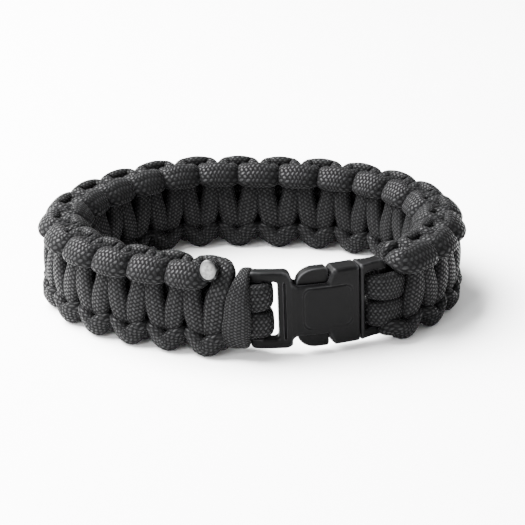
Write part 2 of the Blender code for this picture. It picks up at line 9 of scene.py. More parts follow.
import math

import bmesh
import bpy
import numpy as np
from bpy.props import FloatProperty, FloatVectorProperty, IntProperty, PointerProperty
from mathutils import Matrix, Vector


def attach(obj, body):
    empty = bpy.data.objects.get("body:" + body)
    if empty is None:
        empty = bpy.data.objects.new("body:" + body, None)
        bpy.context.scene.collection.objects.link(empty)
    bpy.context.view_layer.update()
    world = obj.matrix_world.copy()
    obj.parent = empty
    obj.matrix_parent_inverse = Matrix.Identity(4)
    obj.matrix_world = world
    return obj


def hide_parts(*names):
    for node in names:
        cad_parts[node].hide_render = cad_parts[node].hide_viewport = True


bl_info = {
    "name": "Woven cord bracelet",
    "version": (1, 0, 0),
    "blender": (4, 5, 0),
    "location": "3D View > Sidebar > Bracelet",
    "description": "Dresses the solids of a woven cord bracelet with braided cords and a moulded buckle",
    "category": "Object",
}

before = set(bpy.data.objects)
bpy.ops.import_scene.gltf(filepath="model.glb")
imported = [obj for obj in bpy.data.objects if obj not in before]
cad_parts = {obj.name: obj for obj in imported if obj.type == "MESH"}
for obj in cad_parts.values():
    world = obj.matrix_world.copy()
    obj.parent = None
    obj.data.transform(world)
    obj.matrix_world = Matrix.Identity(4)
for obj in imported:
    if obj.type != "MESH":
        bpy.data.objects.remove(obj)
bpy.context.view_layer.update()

MM = 0.001

# Cords: sizes and the gaps between them
BAR_COUNT = 43
CORD_WIDTH = 4.05 * MM
CORD_THICKNESS = 2.85 * MM
SECTION_RATIO = 1.35
BAR_GAP = 0.235 * MM
CORE_WIDTH = 4.2 * MM
CORE_THICKNESS = 2.9 * MM
CORE_GAP = 0.3 * MM
LAY_GAP = 0.2 * MM
TURN_WIDTH = 5.3 * MM
TURN_THICKNESS = 2.5 * MM
TURN_GAP = 0.3 * MM
BIGHT_WIDTH = 4.3 * MM
BIGHT_THICKNESS = 2.4 * MM
LEG_WIDTH = 4.0 * MM
LEAD_START = 0.3 * MM
CORE_START = 0.15 * MM
CORE_RISE = 0.6 * MM
CORE_STEPS = 40
TAIL_WIDTH = 3.5 * MM
TAIL_TALL = 4.2 * MM
TIP_WIDTH = 3.35 * MM
TIP_TALL = 4.6 * MM
TIP_DOME = 0.55 * MM
TURN_SPREAD = 0.2 * MM
PLUG_SLACK = 0.45 * MM
SOCKET_SLACK = 0.45 * MM
PLUG_SAG = 0.2 * MM

# Buckle
PLUG_STANDOFF = 3.1 * MM
CORD_BAR_DEPTH = 1.7 * MM
CORD_BAR_THICKNESS = 1.8 * MM
SLOT_SIDE_ROOM = 0.75 * MM
SLOT_END_ROOM = 0.75 * MM
SLOT_CORNER = 0.8 * MM
RAIL_HEIGHT = 2.1 * MM
FRAME_THICKNESS = 2.8 * MM
FRAME_CORNER = 1.7 * MM
FRAME_REACH = 0.35 * MM
BIGHT_END_CORNER = 0.9 * MM
BODY_LENGTH = 16.45 * MM
BODY_THICKNESS = 4.4 * MM
SOCKET_ROUNDING = 0.7 * MM
PLUG_ROUNDING = 0.6 * MM
PLATE_THICKNESS = 0.75 * MM
RIM_WALL = 1.5 * MM
RIM_LENGTH = 5.6 * MM
RIM_SLANT = 1.25 * MM
WAIST_HEIGHT = 11.0 * MM
NECK_LENGTH = 3.3 * MM
SHOULDER_RADIUS = 2.0 * MM
WAIST_RADIUS = 1.4 * MM
VALLEY_START = 1.05 * MM
VALLEY_END = 1.45 * MM
VALLEY_DEPTH = 0.3 * MM
FLANGE_DEPTH = 1.1 * MM
FIT_GAP = 0.3 * MM
ARM_HEIGHT = 1.8 * MM
PAD_PROUD = 0.25 * MM
PAD_REACH = 0.75 * MM
PAD_CORNER = 0.4 * MM
PAD_SWEEP = 0.62
GUIDE_HEIGHT = 2.6 * MM
GUIDE_LENGTH = 7.0 * MM
PANEL_HEIGHT = 8.9 * MM
PANEL_LENGTH = 10.2 * MM
PANEL_MARGIN = 1.65 * MM
PANEL_CORNER = 1.5 * MM
PANEL_LIFT = 0.35 * MM
GROOVE_WIDTH = 0.3 * MM
GROOVE_DEPTH = 0.18 * MM
SOCKET_LIFT = 0.45 * MM
PLUG_LIFT = 0.30 * MM
BUCKLE_LEAN = 0.035

# Loop: reach of the plan at even angles, the socket's place, the shift on the ground, and the bars'
# spacing from the plug's end to the socket's
PLAN_REACH = (1.146, 1.077, 0.920, 0.857, 0.960, 1.077, 1.177, 1.049, 0.877, 0.886, 0.931, 1.063)
SOCKET_ANGLE = math.radians(268)
LOOP_SHIFT = (-0.0515 * MM, -0.2863 * MM, 9.5752 * MM)
BAR_PACKING = (0.96, 1.00, 1.03, 1.10, 1.10, 1.05, 0.96, 0.90, 1.00)

PITCH = CORD_WIDTH + BAR_GAP
CORE_ACROSS = (CORE_WIDTH + CORE_GAP) / 2
CORE_HALF = CORE_GAP / 2 + CORE_WIDTH
BAR_LIFT = CORE_THICKNESS / 2 + LAY_GAP + CORD_THICKNESS / 2
TURN_ACROSS = (TURN_WIDTH + TURN_GAP) / 2
TURN_LIFT = CORD_BAR_THICKNESS / 2 + LAY_GAP + TURN_THICKNESS / 2
TURN_REACH = CORD_BAR_DEPTH / 2 + LAY_GAP + TURN_THICKNESS / 2
LAST_BAR = (BAR_COUNT - 1) * PITCH
BIGHT_ALONG = LAST_BAR + CORD_WIDTH / 2 + BAR_GAP + BIGHT_WIDTH / 2
SOCKET_ALONG = BIGHT_ALONG + BIGHT_WIDTH / 2
SOCKET_BAR = SOCKET_ALONG + CORD_BAR_DEPTH / 2
SLOT_HEIGHT = 2 * TURN_WIDTH + TURN_GAP + 2 * SLOT_SIDE_ROOM
SLOT_DEPTH = LAY_GAP + TURN_THICKNESS + SLOT_END_ROOM
BUCKLE_HEIGHT = SLOT_HEIGHT + 2 * RAIL_HEIGHT
BODY_START = CORD_BAR_DEPTH + SLOT_DEPTH
SEAM = BODY_START + BODY_LENGTH
PLUG_START = SEAM + FIT_GAP / 2
PLUG_SLOT = PLUG_START + FLANGE_DEPTH
BUCKLE_LENGTH = PLUG_SLOT + SLOT_DEPTH + CORD_BAR_DEPTH
FRAME_SHARE = FRAME_THICKNESS / BODY_THICKNESS
CAVITY_THICKNESS = BODY_THICKNESS - 2 * PLATE_THICKNESS
CAVITY_HALF = BUCKLE_HEIGHT / 2 - RIM_WALL
ARM_THICKNESS = CAVITY_THICKNESS - 2 * FIT_GAP
LOOP_LENGTH = SOCKET_ALONG + BUCKLE_LENGTH + PLUG_STANDOFF + CORD_WIDTH / 2
PLUG_BAR = -PLUG_STANDOFF - CORD_WIDTH / 2 - CORD_BAR_DEPTH / 2

# Places round the loop, with the buckle's lift and lean there
LIFT_ALONG = (0, LAST_BAR, SOCKET_ALONG, LOOP_LENGTH + PLUG_BAR, LOOP_LENGTH)
LIFTS = (0, 0, SOCKET_LIFT, PLUG_LIFT, 0)
LEANS = (0, 0, BUCKLE_LEAN, BUCKLE_LEAN, 0)

# Stitch of the braid: its reach and breadth as shares of its cell, and the rate of its fine threads
STITCH_REACH = 0.76
STITCH_BREADTH = 0.47
THREAD_RATE = 44.0

# Camera and lights
FRAME_SIZE = 525
SENSOR_WIDTH = 36.0
CAMERA_SHIFT = (6.22 / FRAME_SIZE, 29.96 / FRAME_SIZE)
CAMERA_AIM = (0.78 * MM, 0.06 * MM)
KEY_PLACE = (-0.34, 0.11, 0.46)
KEY_SIZE = 0.55
FILL_PLACE = (-0.45, -0.48, 0.28)
FILL_SIZE = 0.4
FILL_AIM = (0.0, 0.0, 0.01)
FILL_SHINE = 0.5

# A working cord's course, from a bar's middle to the crest of its turn round the band's edge.
# along: share of the pitch from the bar's middle. core, lay: height above the middle line, as shares of
# the core's half width and of the cord's thickness. depth: share of the bar's lift.
# width, thickness: shares of the cord's. roll: degrees that the flat side turns from facing out towards
# the edge. lean: share of it facing along.
HALF_BAR = (
    ("bar middle", 0.00, 0.00, 0.00, 1.06, 1.15, 1.10, 0, 0.00),
    ("bar end", -0.13, 0.72, 0.00, 1.00, 1.00, 1.02, 5, 0.00),
)
UPPER_TURN = (
    ("shoulder", -0.21, 1.00, 0.70, 0.62, 1.04, 1.05, 48, -0.45),
    ("edge", -0.25, 1.00, 0.96, 0.10, 1.00, 1.10, 85, -0.80),
    ("rise", -0.29, 1.00, 1.10, -0.46, 1.05, 1.00, 118, -0.88),
    ("corner", -0.22, 1.00, 1.10, -0.90, 1.20, 0.88, 136, -0.70),
    ("haunch", 0.04, 1.00, 1.12, -1.08, 1.34, 0.95, 139, -0.25),
    ("brow", 0.28, 1.00, 1.15, -1.08, 1.42, 1.02, 138, -0.08),
    ("crest", 0.50, 1.00, 1.16, -1.08, 1.45, 1.05, 138, 0.00),
)
LOWER_TURN = (
    ("shoulder", -0.20, 1.00, 0.30, 0.68, 0.92, 1.02, 40, -0.35),
    ("edge", -0.25, 1.00, 0.88, 0.08, 1.00, 1.00, 85, -0.80),
    ("rise", -0.30, 1.00, 0.74, -0.52, 1.02, 0.94, 112, -0.90),
    ("corner", -0.24, 1.00, 0.30, -0.98, 0.96, 0.88, 140, -0.72),
    ("haunch", 0.02, 1.00, 0.58, -1.16, 1.02, 0.94, 148, -0.30),
    ("brow", 0.27, 1.00, 0.94, -1.20, 1.10, 0.98, 150, -0.10),
    ("crest", 0.50, 1.00, 1.06, -1.21, 1.14, 1.00, 150, 0.00),
)
# The last bar goes straight into the hitch's head.
LAST_HEAD = (
    ("bar end", -0.06, 0.75, 0.00, 1.02, 1.06, 1.02, 8, 0.00),
    ("shoulder", -0.26, 1.00, 0.40, 0.86, 1.06, 1.00, 40, 0.00),
    ("edge", -0.31, 1.00, 1.20, 0.20, 1.08, 1.25, 80, 0.00),
    ("rise", -0.13, 1.00, 1.50, -0.50, 0.95, 1.00, 105, -0.26),
)
# The first turns have no neighbour towards the plug and spread that way.
FIRST_CAP = (
    ("edge", -0.42, 1.00, 0.96, 0.10, 1.00, 1.00, 85, -0.60),
    ("rise", -0.62, 1.00, 1.14, -0.42, 1.05, 0.95, 118, -0.80),
    ("corner", -0.56, 1.00, 1.10, -0.88, 1.22, 0.92, 136, -0.65),
    ("haunch", -0.20, 1.00, 1.08, -1.08, 1.34, 0.92, 141, -0.20),
)
# The inner cord rises from behind the plug's bar to the first bar's foot.
FIRST_TURN = (
    ("edge", -0.30, 1.00, 0.82, -0.10, 0.60, 1.30, 85, 0.00),
    ("rise", -0.34, 1.00, 0.95, -0.55, 0.85, 1.00, 105, -0.40),
    ("haunch", -0.16, 1.00, 0.72, -1.05, 1.05, 1.00, 144, -0.45),
)
# The inner cord's end, up to its seal. rise: cord thicknesses above the last bar's end.
# depth: share of the bar's lift. width: share of the tail's. dip: share of the flat side facing inwards.
TAIL = ((0.60, 0.55, 0.92, -0.3), (0.80, 1.05, 1.04, -0.3), (0.85, 1.36, 1.06, -0.1))

# The hitch's bight from over the upper edge to under the lower one.
# along: mm towards the socket. across: share of the edge's height. depth: share of the turns' lift.
# width: share of the bight's. facing: direction of the flat side.
BIGHT = (
    ("upper leg", 1.0, 1.00, -0.75, 0.66, (0.0, 0.80, -0.60)),
    ("upper edge", 0.8, 1.04, 0.35, 0.62, (0.0, 1.00, 0.10)),
    ("upper crown", 0.45, 0.86, 1.20, 0.80, (0.0, 0.55, 0.83)),
    ("upper slope", 0.05, 0.48, 1.64, 1.04, (-0.2, 0.12, 0.97)),
    ("middle", -0.1, 0.00, 1.78, 1.16, (-0.2, 0.00, 0.98)),
    ("lower slope", -0.4, -0.45, 1.70, 1.22, (-0.2, -0.12, 0.97)),
    ("lower crown", -0.4, -0.84, 1.25, 1.05, (0.0, -0.55, 0.83)),
    ("lower edge", 0.0, -1.02, 0.35, 0.82, (0.0, -1.00, 0.10)),
    ("lower leg", 0.4, -1.00, -0.75, 0.70, (0.0, -0.80, -0.60)),
)


class CordSizes(bpy.types.PropertyGroup):
    """Sizes of the braided cord."""

    fullness: FloatProperty(
        name="Fullness",
        description="How far the soft cord swells against its neighbours, as a share of its laid width",
        default=1.0,
        min=0.8,
        max=1.2,
    )
    roundness: FloatProperty(
        name="Section",
        description="Power of the cord's section: 2 is an ellipse and more is flatter",
        default=2.6,
        min=1.5,
        max=5.0,
    )
    step: FloatProperty(
        name="Section spacing",
        description="Distance between the cord's sections",
        default=0.55 * MM,
        precision=5,
        unit="LENGTH",
    )
    sides: IntProperty(name="Sides", description="Sides of the cord's section", default=20, min=8, max=48)
    stitch_length: FloatProperty(
        name="Stitch length",
        description="Length of one stitch of the braid along the cord",
        default=0.88 * MM,
        precision=5,
        unit="LENGTH",
    )
    stitch_columns: IntProperty(
        name="Stitch columns",
        description="Columns of stitches round the cord, an even number",
        default=18,
        min=8,
        max=64,
    )
    stitch_height: FloatProperty(
        name="Stitch height",
        description="How far a stitch stands out",
        default=0.12 * MM,
        precision=6,
        unit="LENGTH",
    )


class Moulding(bpy.types.PropertyGroup):
    """How the buckle's halves are rounded."""

    grain: FloatProperty(
        name="Grain",
        description="Size of the cells from which a half is rebuilt",
        default=0.13 * MM,
        precision=6,
        unit="LENGTH",
    )
    passes: IntProperty(name="Passes", description="How often the rims are eased", default=5, min=0, max=30)
    keep: FloatProperty(
        name="Keep", description="Share of the faces that is kept", default=0.3, min=0.05, max=1.0
    )


class Colours(bpy.types.PropertyGroup):
    """Colours of the bracelet and the stage."""

    # The cord's own colour, which the stitches' crowns take; set against the darker gaps it also paints a
    # highlight on the crowns.
    cord: FloatVectorProperty(
        name="Cord",
        description="Crowns of the braid",
        subtype="COLOR",
        size=3,
        default=(0.0088, 0.0089, 0.0092),
    )
    # Painted shade: this darker colour fills the gaps between the stitches, where shade falls.
    cord_gap_shade: FloatVectorProperty(
        name="Cord gaps",
        description="Gaps between the stitches",
        subtype="COLOR",
        size=3,
        default=(0.0027, 0.0027, 0.0029),
    )
    plastic: FloatVectorProperty(
        name="Buckle",
        description="Moulded plastic",
        subtype="COLOR",
        size=3,
        default=(0.0022, 0.0022, 0.0023),
    )
    tip: FloatVectorProperty(
        name="Sealed end", description="Melted cord", subtype="COLOR", size=3, default=(0.112, 0.112, 0.110)
    )
    floor: FloatVectorProperty(
        name="Floor", description="Ground", subtype="COLOR", size=3, default=(0.92, 0.92, 0.92)
    )


class StageSettings(bpy.types.PropertyGroup):
    """Camera and lights."""

    distance: FloatProperty(
        name="Distance", description="From the bracelet to the camera", default=0.4095, unit="LENGTH"
    )
    elevation: FloatProperty(
        name="Elevation",
        description="Camera's height above the horizon",
        default=math.radians(24.18),
        subtype="ANGLE",
    )
    azimuth: FloatProperty(
        name="Azimuth",
        description="Camera's turn round the bracelet",
        default=math.radians(-1.01),
        subtype="ANGLE",
    )
    lens: FloatProperty(name="Lens", description="Focal length in millimetres", default=130.34)
    key_power: FloatProperty(name="Key", description="Power of the upper light in watts", default=63.0)
    fill_power: FloatProperty(name="Fill", description="Power of the front light in watts", default=6.5)
    sky: FloatProperty(name="Sky", description="Strength of the surrounding light", default=1.0)


# Laying out


def eased(t, near, far, near_slope, far_slope, span=1.0):
    """A cubic between two values with given slopes, at shares of the span."""
    return (
        (2 * t**3 - 3 * t**2 + 1) * near
        + (t**3 - 2 * t**2 + t) * near_slope * span
        + (3 * t**2 - 2 * t**3) * far
        + (t**3 - t**2) * far_slope * span
    )


def unit(rows):
    """Rows scaled to a length of one."""
    return rows / np.linalg.norm(rows, axis=1)[:, None]


def gaps(spots):
    """Distance from each row to the next."""
    return np.linalg.norm(np.diff(spots, axis=0), axis=1)


def running(steps):
    """Running total of steps, from zero."""
    return np.concatenate(([0.0], np.cumsum(steps)))


def loop_line():
    """Distance, position and outward direction at close steps round the loop's middle line."""
    reach = np.array(PLAN_REACH)
    count = len(reach)
    ring = 4 * np.eye(count) + np.roll(np.eye(count), 1, axis=0) + np.roll(np.eye(count), -1, axis=0)
    slope = np.linalg.solve(ring, 3 * (np.roll(reach, -1) - np.roll(reach, 1)))
    t = np.arange(200) / 200
    radius = []
    for i in range(count):
        j = (i + 1) % count
        radius.append(eased(t, reach[i], reach[j], slope[i], slope[j]))
    radius = np.concatenate(radius)
    angle = np.arange(len(radius)) * 2 * math.pi / len(radius)
    spot = np.stack((radius * np.cos(angle), radius * np.sin(angle)), axis=1)
    heading = unit(np.roll(spot, -1, axis=0) - np.roll(spot, 1, axis=0))
    outward = np.stack((heading[:, 1], -heading[:, 0]), axis=1)
    spot = np.vstack((spot, spot[:1]))
    outward = np.vstack((outward, outward[:1]))
    run = running(gaps(spot))
    scale = LOOP_LENGTH / run[-1]
    spot = spot * scale
    run = run * scale
    middle = (spot.max(axis=0) + spot.min(axis=0)) / 2
    socket = np.interp(SOCKET_ANGLE, np.append(angle, 2 * math.pi), run)
    return run, spot - middle, outward, socket - SOCKET_ALONG


def packing_line():
    """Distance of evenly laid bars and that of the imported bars, at close steps."""
    even = np.linspace(0, LAST_BAR, 20 * len(BAR_PACKING))
    share = np.interp(even, np.linspace(0, LAST_BAR, len(BAR_PACKING)), BAR_PACKING)
    packed = running((share[1:] + share[:-1]) / 2)
    return even, packed * LAST_BAR / packed[-1]


LOOP = loop_line()
PACKING = packing_line()


def bend(points):
    """Bend points of the unrolled band round the loop. Takes and gives an array of rows of three."""
    run, spot, outward, start = LOOP
    along, across, depth = points.T
    lift = np.interp(along % LOOP_LENGTH, LIFT_ALONG, LIFTS)
    lean = np.interp(along % LOOP_LENGTH, LIFT_ALONG, LEANS)
    along = np.where((along > 0) & (along < LAST_BAR), np.interp(along, *PACKING), along)
    where = (along - lean * across + start) % LOOP_LENGTH
    x = np.interp(where, run, spot[:, 0])
    y = np.interp(where, run, spot[:, 1])
    nx = np.interp(where, run, outward[:, 0])
    ny = np.interp(where, run, outward[:, 1])
    size = np.hypot(nx, ny)
    bent = np.stack((x + depth * nx / size, y + depth * ny / size, across + lift), axis=1)
    return bent + np.array(LOOP_SHIFT)


def facing(up, side, roll, lean):
    """The direction that a cord's flat side faces."""
    rest = math.sqrt(1 - lean * lean)
    roll = math.radians(roll)
    return (lean, up * rest * math.sin(roll), side * rest * math.cos(roll))


def course_row(bar, half, up, side, row):
    """One section of a working cord. half is -1 on the way into the bar and 1 on the way out of it."""
    along, core, lay, depth, width, thickness, roll, lean = row[1:]
    return (
        (bar + half * along) * PITCH,
        half * up * (core * CORE_HALF + lay * CORD_THICKNESS),
        side * depth * BAR_LIFT,
        width * CORD_WIDTH,
        thickness * CORD_THICKNESS,
        facing(half * up, side, roll, half * lean),
    )


def course(side, first_up):
    """The sections of a working cord over all the bars, in two lists for each bar: way in and way out."""
    bars = []
    for bar in range(BAR_COUNT):
        up = first_up if bar % 2 == 0 else -first_up
        turns = (LOWER_TURN, UPPER_TURN) if up > 0 else (UPPER_TURN, LOWER_TURN)
        way_in = [course_row(bar, -1, up, side, row) for row in reversed(HALF_BAR + turns[0])]
        way_out = [course_row(bar, 1, up, side, row) for row in HALF_BAR + turns[1]]
        bars.append([way_in, way_out[1:]])
    return bars


def joined(bars):
    """Run the bars' sections together, with each crest once."""
    rows = list(bars[0][0]) + list(bars[0][1])
    for way_in, way_out in bars[1:]:
        rows += way_in[1:] + way_out
    return rows


def lead_rows(side):
    """A working cord's first sections, behind the plug's bar and above or below the middle line."""
    start = PLUG_BAR + LEAD_START
    along = start + 0.36 * CORD_WIDTH
    across = side * TURN_ACROSS
    return [
        (start, across, -TURN_LIFT, 0.80 * TURN_WIDTH, TURN_THICKNESS, (0, 0, -1)),
        (along, 1.1 * across, -1.05 * TURN_LIFT, 0.66 * TURN_WIDTH, TURN_THICKNESS, (0, 0, -1)),
    ]


def outer_course():
    """The cord whose bars cross the outer face: it starts behind the plug's bar, above the middle line."""
    bars = course(1, -1)
    crest = bars[0][0][0]
    across = (TURN_ACROSS + crest[1]) / 2
    depth = -TURN_LIFT - 0.25 * TURN_THICKNESS
    rise = (-0.38 * PITCH, across, depth, CORD_WIDTH, CORD_THICKNESS, (-0.1, 0.3, -0.95))
    bars[0][0] = lead_rows(1) + [rise] + bars[0][0][2:]
    last = BAR_COUNT - 1
    head = [course_row(last, -1, -1, 1, row) for row in reversed(LAST_HEAD)]
    bars[-1][0] = bars[-1][0][:4] + head + bars[-1][0][-1:]
    bars[-1][1] = bars[-1][1][:-1]
    return joined(bars)


def inner_course():
    """The cord whose bars cross the inner face: it starts behind the plug's bar, below the middle line."""
    bars = course(-1, 1)
    spread = [course_row(0, 1, 1, -1, row) for row in FIRST_CAP]
    bars[0][1] = bars[0][1][:2] + spread + bars[0][1][6:]
    turn = [course_row(-1, 1, -1, -1, row) for row in FIRST_TURN]
    lead = lead_rows(-1)
    along = (lead[-1][0] + 2 * turn[0][0]) / 3
    across = -(TURN_ACROSS - 2 * turn[0][1]) / 3
    depth = -TURN_LIFT - 0.25 * TURN_THICKNESS
    rise = (along, across, depth, 0.80 * CORD_WIDTH, CORD_THICKNESS, (-0.2, -0.5, -0.85))
    bars[0][0] = lead + [rise] + turn + bars[0][0]
    tail = bars[-1][1][:3]
    along, across = tail[-1][:2]
    for rise, depth, width, dip in TAIL:
        spot = (along, across + rise * CORD_THICKNESS, depth * BAR_LIFT)
        tail.append((*spot, width * TAIL_WIDTH, TAIL_TALL, (0, 1, dip)))
    bars[-1][1] = tail
    return joined(bars)


def turn_row(bar, degrees, reach=TURN_REACH):
    """A section of a turn round a cord bar, at an angle from facing along."""
    angle = math.radians(degrees)
    c = math.cos(angle)
    s = math.sin(angle)
    across = TURN_ACROSS + TURN_SPREAD * abs(c)
    width = (1.08 - 0.08 * abs(c)) * TURN_WIDTH
    return (bar + c * reach, across, s * TURN_LIFT, width, TURN_THICKNESS, (c, 0, s))


def core_half():
    """The upper strand of the core cord, from behind the plug's bar to behind the socket's."""
    flat = (0, 0, 1)
    near = PLUG_BAR + CORD_BAR_DEPTH / 2 + LAY_GAP
    far = SOCKET_BAR - CORD_BAR_DEPTH / 2 - LAY_GAP
    wide, thick = 1.08 * TURN_WIDTH, TURN_THICKNESS
    edge = -CORD_WIDTH / 2
    between = (TURN_ACROSS + CORE_ACROSS) / 2
    rows = [(PLUG_BAR - CORE_START, TURN_ACROSS, -TURN_LIFT, wide, thick, (0, 0, -1))]
    for degrees in (240, 210, 180, 150, 120):
        rows.append(turn_row(PLUG_BAR, degrees, TURN_REACH + PLUG_SLACK))
    rows += [
        (PLUG_BAR, TURN_ACROSS, TURN_LIFT, wide, thick, flat),
        (near, TURN_ACROSS, 1.02 * TURN_LIFT, wide, thick, (0.2, 0, 0.98)),
        ((near + 2 * edge) / 3, between, 0.86 * TURN_LIFT, TURN_WIDTH, thick, (0.4, 0, 0.92)),
        (edge + CORE_RISE, CORE_ACROSS, 0.30 * TURN_LIFT, CORE_WIDTH, CORE_THICKNESS, (0.4, 0, 0.92)),
    ]
    begin = 0.5 * PITCH
    for i in range(CORE_STEPS + 1):
        along = begin + (LAST_BAR - begin) * i / CORE_STEPS
        rows.append((along, CORE_ACROSS, 0.0, CORE_WIDTH, CORE_THICKNESS, flat))
    under = LAST_BAR + CORD_WIDTH / 2 + BAR_GAP
    rows += [
        (under, CORE_ACROSS, 0.03 * TURN_LIFT, CORE_WIDTH, CORE_THICKNESS, (-0.1, 0, 0.99)),
        (BIGHT_ALONG, between, 0.45 * TURN_LIFT, TURN_WIDTH, thick, (-0.45, 0, 0.89)),
        (far, TURN_ACROSS, 1.02 * TURN_LIFT, wide, thick, (-0.25, 0, 0.97)),
        (SOCKET_BAR, TURN_ACROSS, TURN_LIFT, wide, thick, flat),
    ]
    for degrees in (60, 30, 0, -30, -60):
        rows.append(turn_row(SOCKET_BAR, degrees))
    rows.append((SOCKET_BAR, TURN_ACROSS, -TURN_LIFT, wide, thick, (0, 0, -1)))
    return rows


def core_course():
    """The whole core cord: along the upper strand, round the hitch's bight and back along the lower."""
    ends = (PLUG_BAR, 0.5 * PITCH, LAST_BAR, SOCKET_BAR)
    sag = (-PLUG_SAG, 0, 0, SOCKET_SLACK)
    there, back = [], []
    for along, across, *rest, flat in core_half():
        shift = float(np.interp(along, ends, sag))
        there.append((along, across + shift, *rest, flat))
        back.insert(0, (along, -across + shift, *rest, (flat[0], -flat[1], flat[2])))
    edge = CORE_HALF + LAY_GAP + 0.45 * TURN_WIDTH
    bight = []
    for along, across, depth, width, flat in (row[1:] for row in BIGHT):
        spot = (BIGHT_ALONG + along * MM, across * edge, depth * TURN_LIFT)
        bight.append((*spot, width * BIGHT_WIDTH, BIGHT_THICKNESS, flat))
    behind = (SOCKET_BAR + 2 * BIGHT_ALONG) / 3
    side = (TURN_ACROSS + edge) / 2
    upper = (behind, side, -1.6 * TURN_LIFT, LEG_WIDTH, BIGHT_THICKNESS, (0.1, 0.25, -0.97))
    lower = (behind, -side, -1.6 * TURN_LIFT, LEG_WIDTH, BIGHT_THICKNESS, (0.1, -0.25, -0.97))
    return there + [upper] + bight + [lower] + back


# Cords


def placed(name, data):
    """A new object in the scene."""
    made = bpy.data.objects.new(name, data)
    bpy.context.scene.collection.objects.link(made)
    return made


def object_of(name, mesh):
    """Turn a bmesh into an object in the scene."""
    data = bpy.data.meshes.new(name)
    mesh.to_mesh(data)
    mesh.free()
    return placed(name, data)


def section(sides, power):
    """Points of a flattened section, evenly spaced round it, with the last on the first."""
    angle = np.linspace(0, 2 * math.pi, 721)
    x = np.sign(np.cos(angle)) * np.abs(np.cos(angle)) ** (2 / power)
    y = np.sign(np.sin(angle)) * np.abs(np.sin(angle)) ** (2 / power)
    run = running(np.hypot(np.diff(SECTION_RATIO * x), np.diff(y)))
    even = np.linspace(0, run[-1], sides + 1)
    return np.interp(even, run, x), np.interp(even, run, y)


def sweep_line(rows, step):
    """Run a smooth curve through a cord's sections and sample it evenly."""
    knots = np.array([list(row[:5]) + list(row[5]) for row in rows])
    times = running(np.sqrt(gaps(knots[:, :3])))
    rate = np.diff(knots, axis=0) / np.diff(times)[:, None]
    before = np.diff(times)[:-1, None]
    after = np.diff(times)[1:, None]
    slope = np.vstack((rate[:1], (after * rate[:-1] + before * rate[1:]) / (before + after), rate[-1:]))
    dense = []
    for i in range(len(rows) - 1):
        span = times[i + 1] - times[i]
        t = np.linspace(0, 1, 13)[:-1, None]
        dense.append(eased(t, knots[i], knots[i + 1], slope[i], slope[i + 1], span))
    dense = np.vstack(dense + [knots[-1:]])
    run = running(gaps(dense[:, :3]))
    even = np.linspace(0, run[-1], max(8, round(run[-1] / step)))
    return even, np.stack([np.interp(even, run, column) for column in dense.T], axis=1)


def cord_mesh(rows, sizes, squareness=0.0, fineness=1.0):
    """A braided cord as a closed mesh: a grid wrapped round the cord's course, with its ends filled."""
    run, line = sweep_line(rows, sizes.step)
    ahead = unit(np.gradient(line[:, :3], axis=0))
    flat = line[:, 5:8]
    flat = unit(flat - ahead * (flat * ahead).sum(axis=1)[:, None])
    wide = np.cross(ahead, flat)
    px, py = section(sizes.sides, sizes.roundness + squareness)
    grow = sizes.fullness / 2
    points = (
        line[:, None, :3]
        + wide[:, None, :] * (px[None, :, None] * line[:, None, 3:4] * grow)
        + flat[:, None, :] * (py[None, :, None] * line[:, None, 4:5] * grow)
    )
    rings = len(line)
    sides = sizes.sides
    spots = bend(points.reshape(-1, 3)).reshape(rings, sides + 1, 3)
    mesh = bmesh.new()
    layer = mesh.loops.layers.uv.new("Braid")
    bmesh.ops.create_grid(mesh, x_segments=rings - 1, y_segments=sides, size=1.0, calc_uvs=True)
    for face in mesh.faces:
        for loop in face.loops:
            u, v = loop[layer].uv
            loop[layer].uv = (fineness * run[round(u * (rings - 1))] / sizes.stitch_length, fineness * v)
    for vert in mesh.verts:
        i = round((vert.co.x + 1) / 2 * (rings - 1))
        j = round((vert.co.y + 1) / 2 * sides)
        vert.co = spots[i, j]
    bmesh.ops.remove_doubles(mesh, verts=mesh.verts, dist=0.000001)
    ends = [edge for edge in mesh.edges if edge.is_boundary]
    bmesh.ops.holes_fill(mesh, edges=ends, sides=0)
    bmesh.ops.recalc_face_normals(mesh, faces=mesh.faces)
    return mesh


def bend_mesh(mesh, spots):
    """Put a mesh's points at the given places of the unrolled band, bent round the loop."""
    for vert, spot in zip(mesh.verts, bend(spots)):
        vert.co = spot


def finish(name, mesh, surface, node):
    """Make a piece of a mesh, ride it on the bracelet and let it stand for its solid."""
    if mesh.calc_volume(signed=True) < 0:
        bmesh.ops.reverse_faces(mesh, faces=mesh.faces)
    piece = object_of(name, mesh)
    piece.data.shade_smooth()
    piece.data.set_sharp_from_angle(angle=math.radians(50))
    piece.data.materials.append(surface)
    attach(piece, "root")
    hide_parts(node)


# Buckle


def arc(x, y, radius, first, last, steps=8):
    """Points of an arc in degrees, ends included."""
    points = []
    for i in range(steps + 1):
        angle = math.radians(first + (last - first) * i / steps)
        points.append((x + radius * math.cos(angle), y + radius * math.sin(angle)))
    return points


def mirrored(upper):
    """Close an outline whose upper half runs from left to right."""
    return upper + [(x, -y) for x, y in reversed(upper)]


def rounded_box(x0, x1, half, radius):
    """An outline of a rectangle with round corners, even about the middle line."""
    return mirrored(
        arc(x0 + radius, half - radius, radius, 180, 90) + arc(x1 - radius, half - radius, radius, 90, 0)
    )


